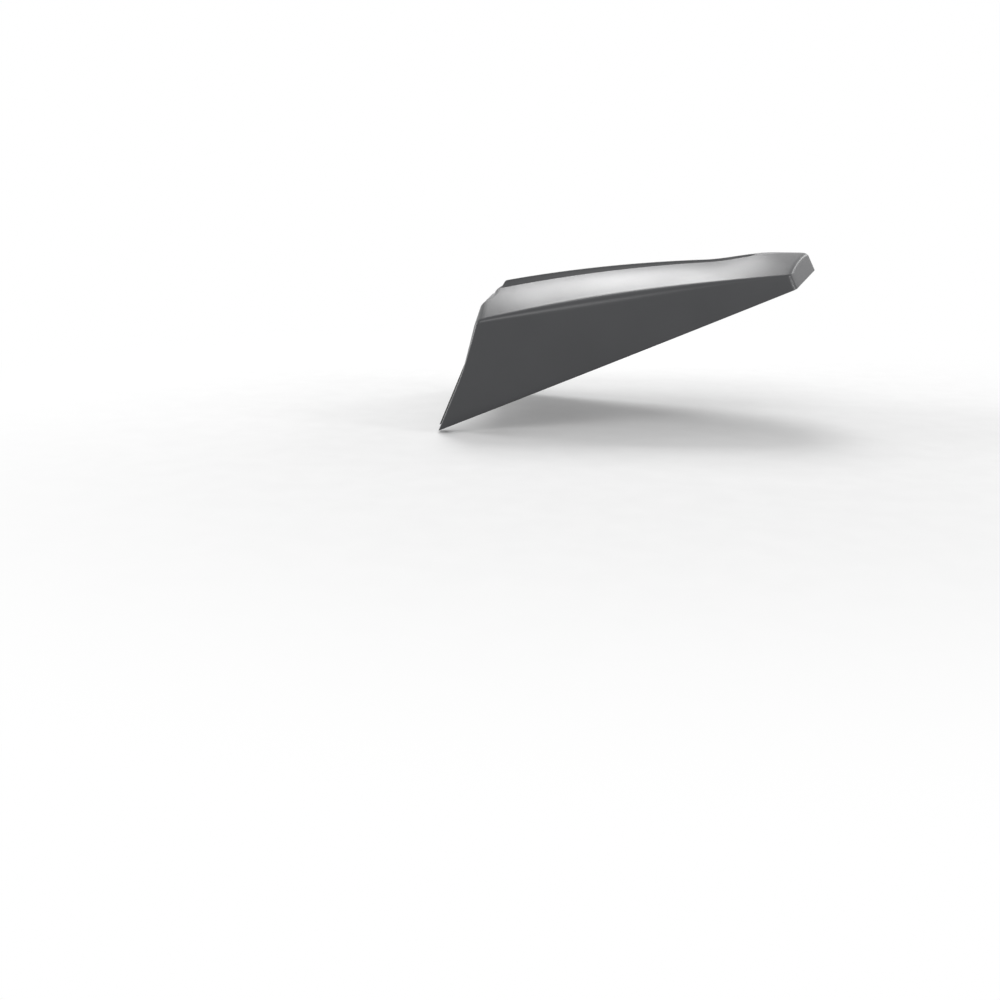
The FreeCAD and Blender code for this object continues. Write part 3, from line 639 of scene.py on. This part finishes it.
def cowl_skin():
    """The moulding as a modelled mesh with softened edges."""
    outside = Sheet(0.0)
    inside = Sheet(WALL)
    sunk = Sheet(WALL - SUNK)
    edge = outside.row(0.0)
    run = lengths(edge)
    marks = run / run[-1]
    outer = outer_rows(outside, marks, marks[CREASE_COLUMN])
    inner = inner_rows(inside, marks, marks[CREASE_COLUMN])
    outer = soften_rim(outer, inner)

    build = Builder()
    build.both_sides(outer)
    build.both_sides(inner)
    build.both_sides(np.stack([outer[:, 0], inner[:, 0]]))
    build.both_sides(np.stack([outer[0, RIM_COLUMNS - 1:], inner[0]]))
    build.both_sides(np.stack([outer[0, :RIM_COLUMNS], np.repeat(inner[0, :1], RIM_COLUMNS, axis=0)]))

    for along, level in RIBS:
        rib(build, sunk, along, level)
    places = [TAIL_POST]
    for along in SIDE_POSTS:
        places.append((along, bowed(RIM_HALF, along / LENGTH) - POST_INSET))
    for along, across in places:
        for side in (-1, 1):
            post(build, sunk, along, side * across)
            gusset(build, sunk, along, side * across)
    return build.finish("cowl_skin", SKIN_SHARP)


def trim_section():
    """The rubber's outer and inner lines, point for point."""
    back = [(out, WALL - deep) for out, deep in reversed(TRIM_LEG)]
    outer = np.array([*TRIM_LEG, (TRIM_LEG[-1][0], WALL / 2), *back])
    tip = TRIM_LEG[0][0]
    line = np.array([(tip, 0.0), (0.0, 0.0), (0.0, WALL), (tip, WALL)])
    run = lengths(line)
    shares = lengths(outer) / lengths(outer)[-1]
    inner = np.stack([np.interp(shares * run[-1], run, line[:, axis]) for axis in (0, 1)], axis=1)
    return outer, inner


def edge_trim():
    """The rubber on the arch's edge, with rounded legs and a rounded back."""
    edge = Sheet(0.0).row(0.0)
    corner_mark = (lengths(edge) / lengths(edge)[-1])[CREASE_COLUMN]
    line, _ = arch_line(0.0)
    marks = np.linspace(TRIM_START / lengths(line)[-1], 1, TRIM_STEPS)
    outer, inner = trim_section()

    def swept(section):
        lines = [on_wall(arch_points(marks, corner_mark, out), deep) for out, deep in section]
        return np.stack(lines, axis=1)

    build = Builder()
    outside = swept(outer)
    inside = swept(inner)
    build.both_sides(outside)
    build.both_sides(inside)
    for end in (0, -1):
        build.both_sides(np.stack([outside[:, end], inside[:, end]]))
    build.both_sides(np.stack([outside[0], inside[0]]))
    return build.finish("edge_trim", TRIM_SHARP)


def node_tree(name):
    material = bpy.data.materials.new(name)
    material.use_nodes = True
    nodes = material.node_tree.nodes
    return material, nodes, material.node_tree.links, nodes["Principled BSDF"]


def noise(nodes, links, scale, detail, coordinates):
    texture = nodes.new("ShaderNodeTexNoise")
    texture.inputs["Scale"].default_value = scale
    texture.inputs["Detail"].default_value = detail
    links.new(coordinates.outputs["Object"], texture.inputs["Vector"])
    return texture


def ramp(nodes, links, source, low, high):
    """Colours between two ends, driven by a noise."""
    colours = nodes.new("ShaderNodeValToRGB")
    colours.color_ramp.elements[0].position = NOISE_SPAN[0]
    colours.color_ramp.elements[0].color = (*low, 1)
    colours.color_ramp.elements[1].position = NOISE_SPAN[1]
    colours.color_ramp.elements[1].color = (*high, 1)
    links.new(source.outputs["Fac"], colours.inputs["Fac"])
    return colours


def span(nodes, links, source, low, high):
    """A value between two ends, driven by a noise."""
    spread = nodes.new("ShaderNodeMapRange")
    spread.inputs["From Min"].default_value = NOISE_SPAN[0]
    spread.inputs["From Max"].default_value = NOISE_SPAN[1]
    spread.inputs["To Min"].default_value = low
    spread.inputs["To Max"].default_value = high
    links.new(source.outputs["Fac"], spread.inputs["Value"])
    return spread


def surface(name, low, high, rough, metallic, grain, grain_depth, gloss=PLAIN_GLOSS):
    """A material with a drifting colour, a drifting roughness and a fine grain."""
    material, nodes, links, shader = node_tree(name)
    coordinates = nodes.new("ShaderNodeTexCoord")
    drift = noise(nodes, links, DRIFT_SCALE, DRIFT_DETAIL, coordinates)
    links.new(ramp(nodes, links, drift, low, high).outputs["Color"], shader.inputs["Base Color"])
    links.new(span(nodes, links, drift, *rough).outputs["Result"], shader.inputs["Roughness"])
    shader.inputs["Metallic"].default_value = metallic
    shader.inputs["Specular IOR Level"].default_value = gloss
    bump = nodes.new("ShaderNodeBump")
    bump.inputs["Strength"].default_value = GRAIN_STRENGTH
    bump.inputs["Distance"].default_value = grain_depth
    links.new(noise(nodes, links, grain, GRAIN_DETAIL, coordinates).outputs["Fac"], bump.inputs["Height"])
    links.new(bump.outputs["Normal"], shader.inputs["Normal"])
    return material


def dress(skin, trim):
    """Give every node and every new piece its material."""
    materials = {slot: surface(slot, **finish) for slot, finish in FINISHES.items()}
    for row in frame["record"]["subparts"]:
        node = frame["nodes"][row["node"]]
        node.data.materials.clear()
        node.data.materials.append(materials[row["material_slot"]])
    skin.data.materials.append(materials["moulded_shell"])
    trim.data.materials.append(materials["edge_rubber"])


def seen_white(nodes, links):
    """1 for rays that show the background: from the camera, and by reflection or through glass."""
    path = nodes.new("ShaderNodeLightPath")
    first = nodes.new("ShaderNodeMath")
    first.operation = "MAXIMUM"
    links.new(path.outputs["Is Camera Ray"], first.inputs[0])
    links.new(path.outputs["Is Glossy Ray"], first.inputs[1])
    both = nodes.new("ShaderNodeMath")
    both.operation = "MAXIMUM"
    links.new(first.outputs["Value"], both.inputs[0])
    links.new(path.outputs["Is Transmission Ray"], both.inputs[1])
    return both


def floor_whiteness(nodes, links, coordinates):
    """How white the floor shows: 0 near the object, 1 where it has run out into the background."""
    away = nodes.new("ShaderNodeVectorMath")
    away.operation = "DISTANCE"
    away.inputs[1].default_value = FLOOR_MIDDLE
    links.new(coordinates.outputs["Object"], away.inputs[0])
    fade = nodes.new("ShaderNodeMapRange")
    fade.interpolation_type = "SMOOTHSTEP"
    fade.inputs["From Min"].default_value = FLOOR_FADE[0]
    fade.inputs["From Max"].default_value = FLOOR_FADE[1]
    links.new(away.outputs["Value"], fade.inputs["Value"])
    share = nodes.new("ShaderNodeMath")
    share.operation = "MULTIPLY"
    links.new(fade.outputs["Result"], share.inputs[0])
    links.new(seen_white(nodes, links).outputs["Value"], share.inputs[1])
    return share


def floor_material():
    """Pale floor that keeps the shadow near the object and runs out into the white background."""
    material, nodes, links, shader = node_tree("floor")
    coordinates = nodes.new("ShaderNodeTexCoord")
    tone = noise(nodes, links, FLOOR_GRAIN, FLOOR_DETAIL, coordinates)
    links.new(ramp(nodes, links, tone, FLOOR_LOW, FLOOR_HIGH).outputs["Color"], shader.inputs["Base Color"])
    shader.inputs["Roughness"].default_value = FLOOR_ROUGH
    shader.inputs["Specular IOR Level"].default_value = 0
    white = nodes.new("ShaderNodeEmission")
    mixed = nodes.new("ShaderNodeMixShader")
    share = floor_whiteness(nodes, links, coordinates)
    links.new(share.outputs["Value"], mixed.inputs["Fac"])
    links.new(shader.outputs["BSDF"], mixed.inputs[1])
    links.new(white.outputs["Emission"], mixed.inputs[2])
    links.new(mixed.outputs["Shader"], nodes["Material Output"].inputs["Surface"])
    return material


def floor():
    low = FLOOR_MIDDLE[2]
    mesh = bpy.data.meshes.new("floor")
    corners = [(x * FLOOR_HALF, y * FLOOR_HALF, low) for x, y in ((-1, -1), (1, -1), (1, 1), (-1, 1))]
    mesh.from_pydata(corners, [], [(0, 1, 2, 3)])
    plane = bpy.data.objects.new("floor", mesh)
    bpy.context.scene.collection.objects.link(plane)
    plane.data.materials.append(floor_material())


def light(name, at, towards, size, power):
    lamp = bpy.data.lights.new(name, "AREA")
    lamp.shape = "RECTANGLE"
    lamp.size = size[0]
    lamp.size_y = size[1]
    lamp.energy = power
    thing = bpy.data.objects.new(name, lamp)
    thing.location = at
    thing.rotation_euler = (Vector(towards) - Vector(at)).to_track_quat("-Z", "Y").to_euler()
    bpy.context.scene.collection.objects.link(thing)


def studio():
    """White where the camera or a reflection sees the background, and a lower level as light."""
    world = bpy.data.worlds.new("studio")
    world.use_nodes = True
    nodes = world.node_tree.nodes
    links = world.node_tree.links
    level = nodes.new("ShaderNodeMapRange")
    level.inputs["To Min"].default_value = WORLD_LIGHT
    level.inputs["To Max"].default_value = 1
    links.new(seen_white(nodes, links).outputs["Value"], level.inputs["Value"])
    nodes["Background"].inputs["Color"].default_value = (1, 1, 1, 1)
    links.new(level.outputs["Result"], nodes["Background"].inputs["Strength"])
    bpy.context.scene.world = world


def camera():
    lens = bpy.data.cameras.new("camera")
    lens.sensor_width = SENSOR
    lens.lens = SENSOR * CAMERA_FOCAL_SHARE
    thing = bpy.data.objects.new("camera", lens)
    turn = CAMERA_AHEAD.to_track_quat("-Z", "Y").to_matrix().to_4x4()
    thing.matrix_world = Matrix.Translation(CAMERA_AT) @ turn @ Matrix.Rotation(CAMERA_ROLL, 4, "Z")
    bpy.context.scene.collection.objects.link(thing)
    bpy.context.scene.camera = thing


skin = cowl_skin()
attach(skin, "root")
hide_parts("cowl_shell")
trim = edge_trim()
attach(trim, "root")
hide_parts("front_edge_trim")

dress(skin, trim)
floor()
light("far", FAR_AT, LIT_POINT, FAR_SIZE, FAR_POWER)
light("near", NEAR_AT, LIT_POINT, NEAR_SIZE, NEAR_POWER)
light("front", FRONT_AT, LIT_POINT, FRONT_SIZE, FRONT_POWER)
light("rear", REAR_AT, LIT_POINT, REAR_SIZE, REAR_POWER)
light("edge", EDGE_AT, LIT_POINT, EDGE_SIZE, EDGE_POWER)
studio()
camera()
bpy.context.scene.view_settings.view_transform = "Standard"
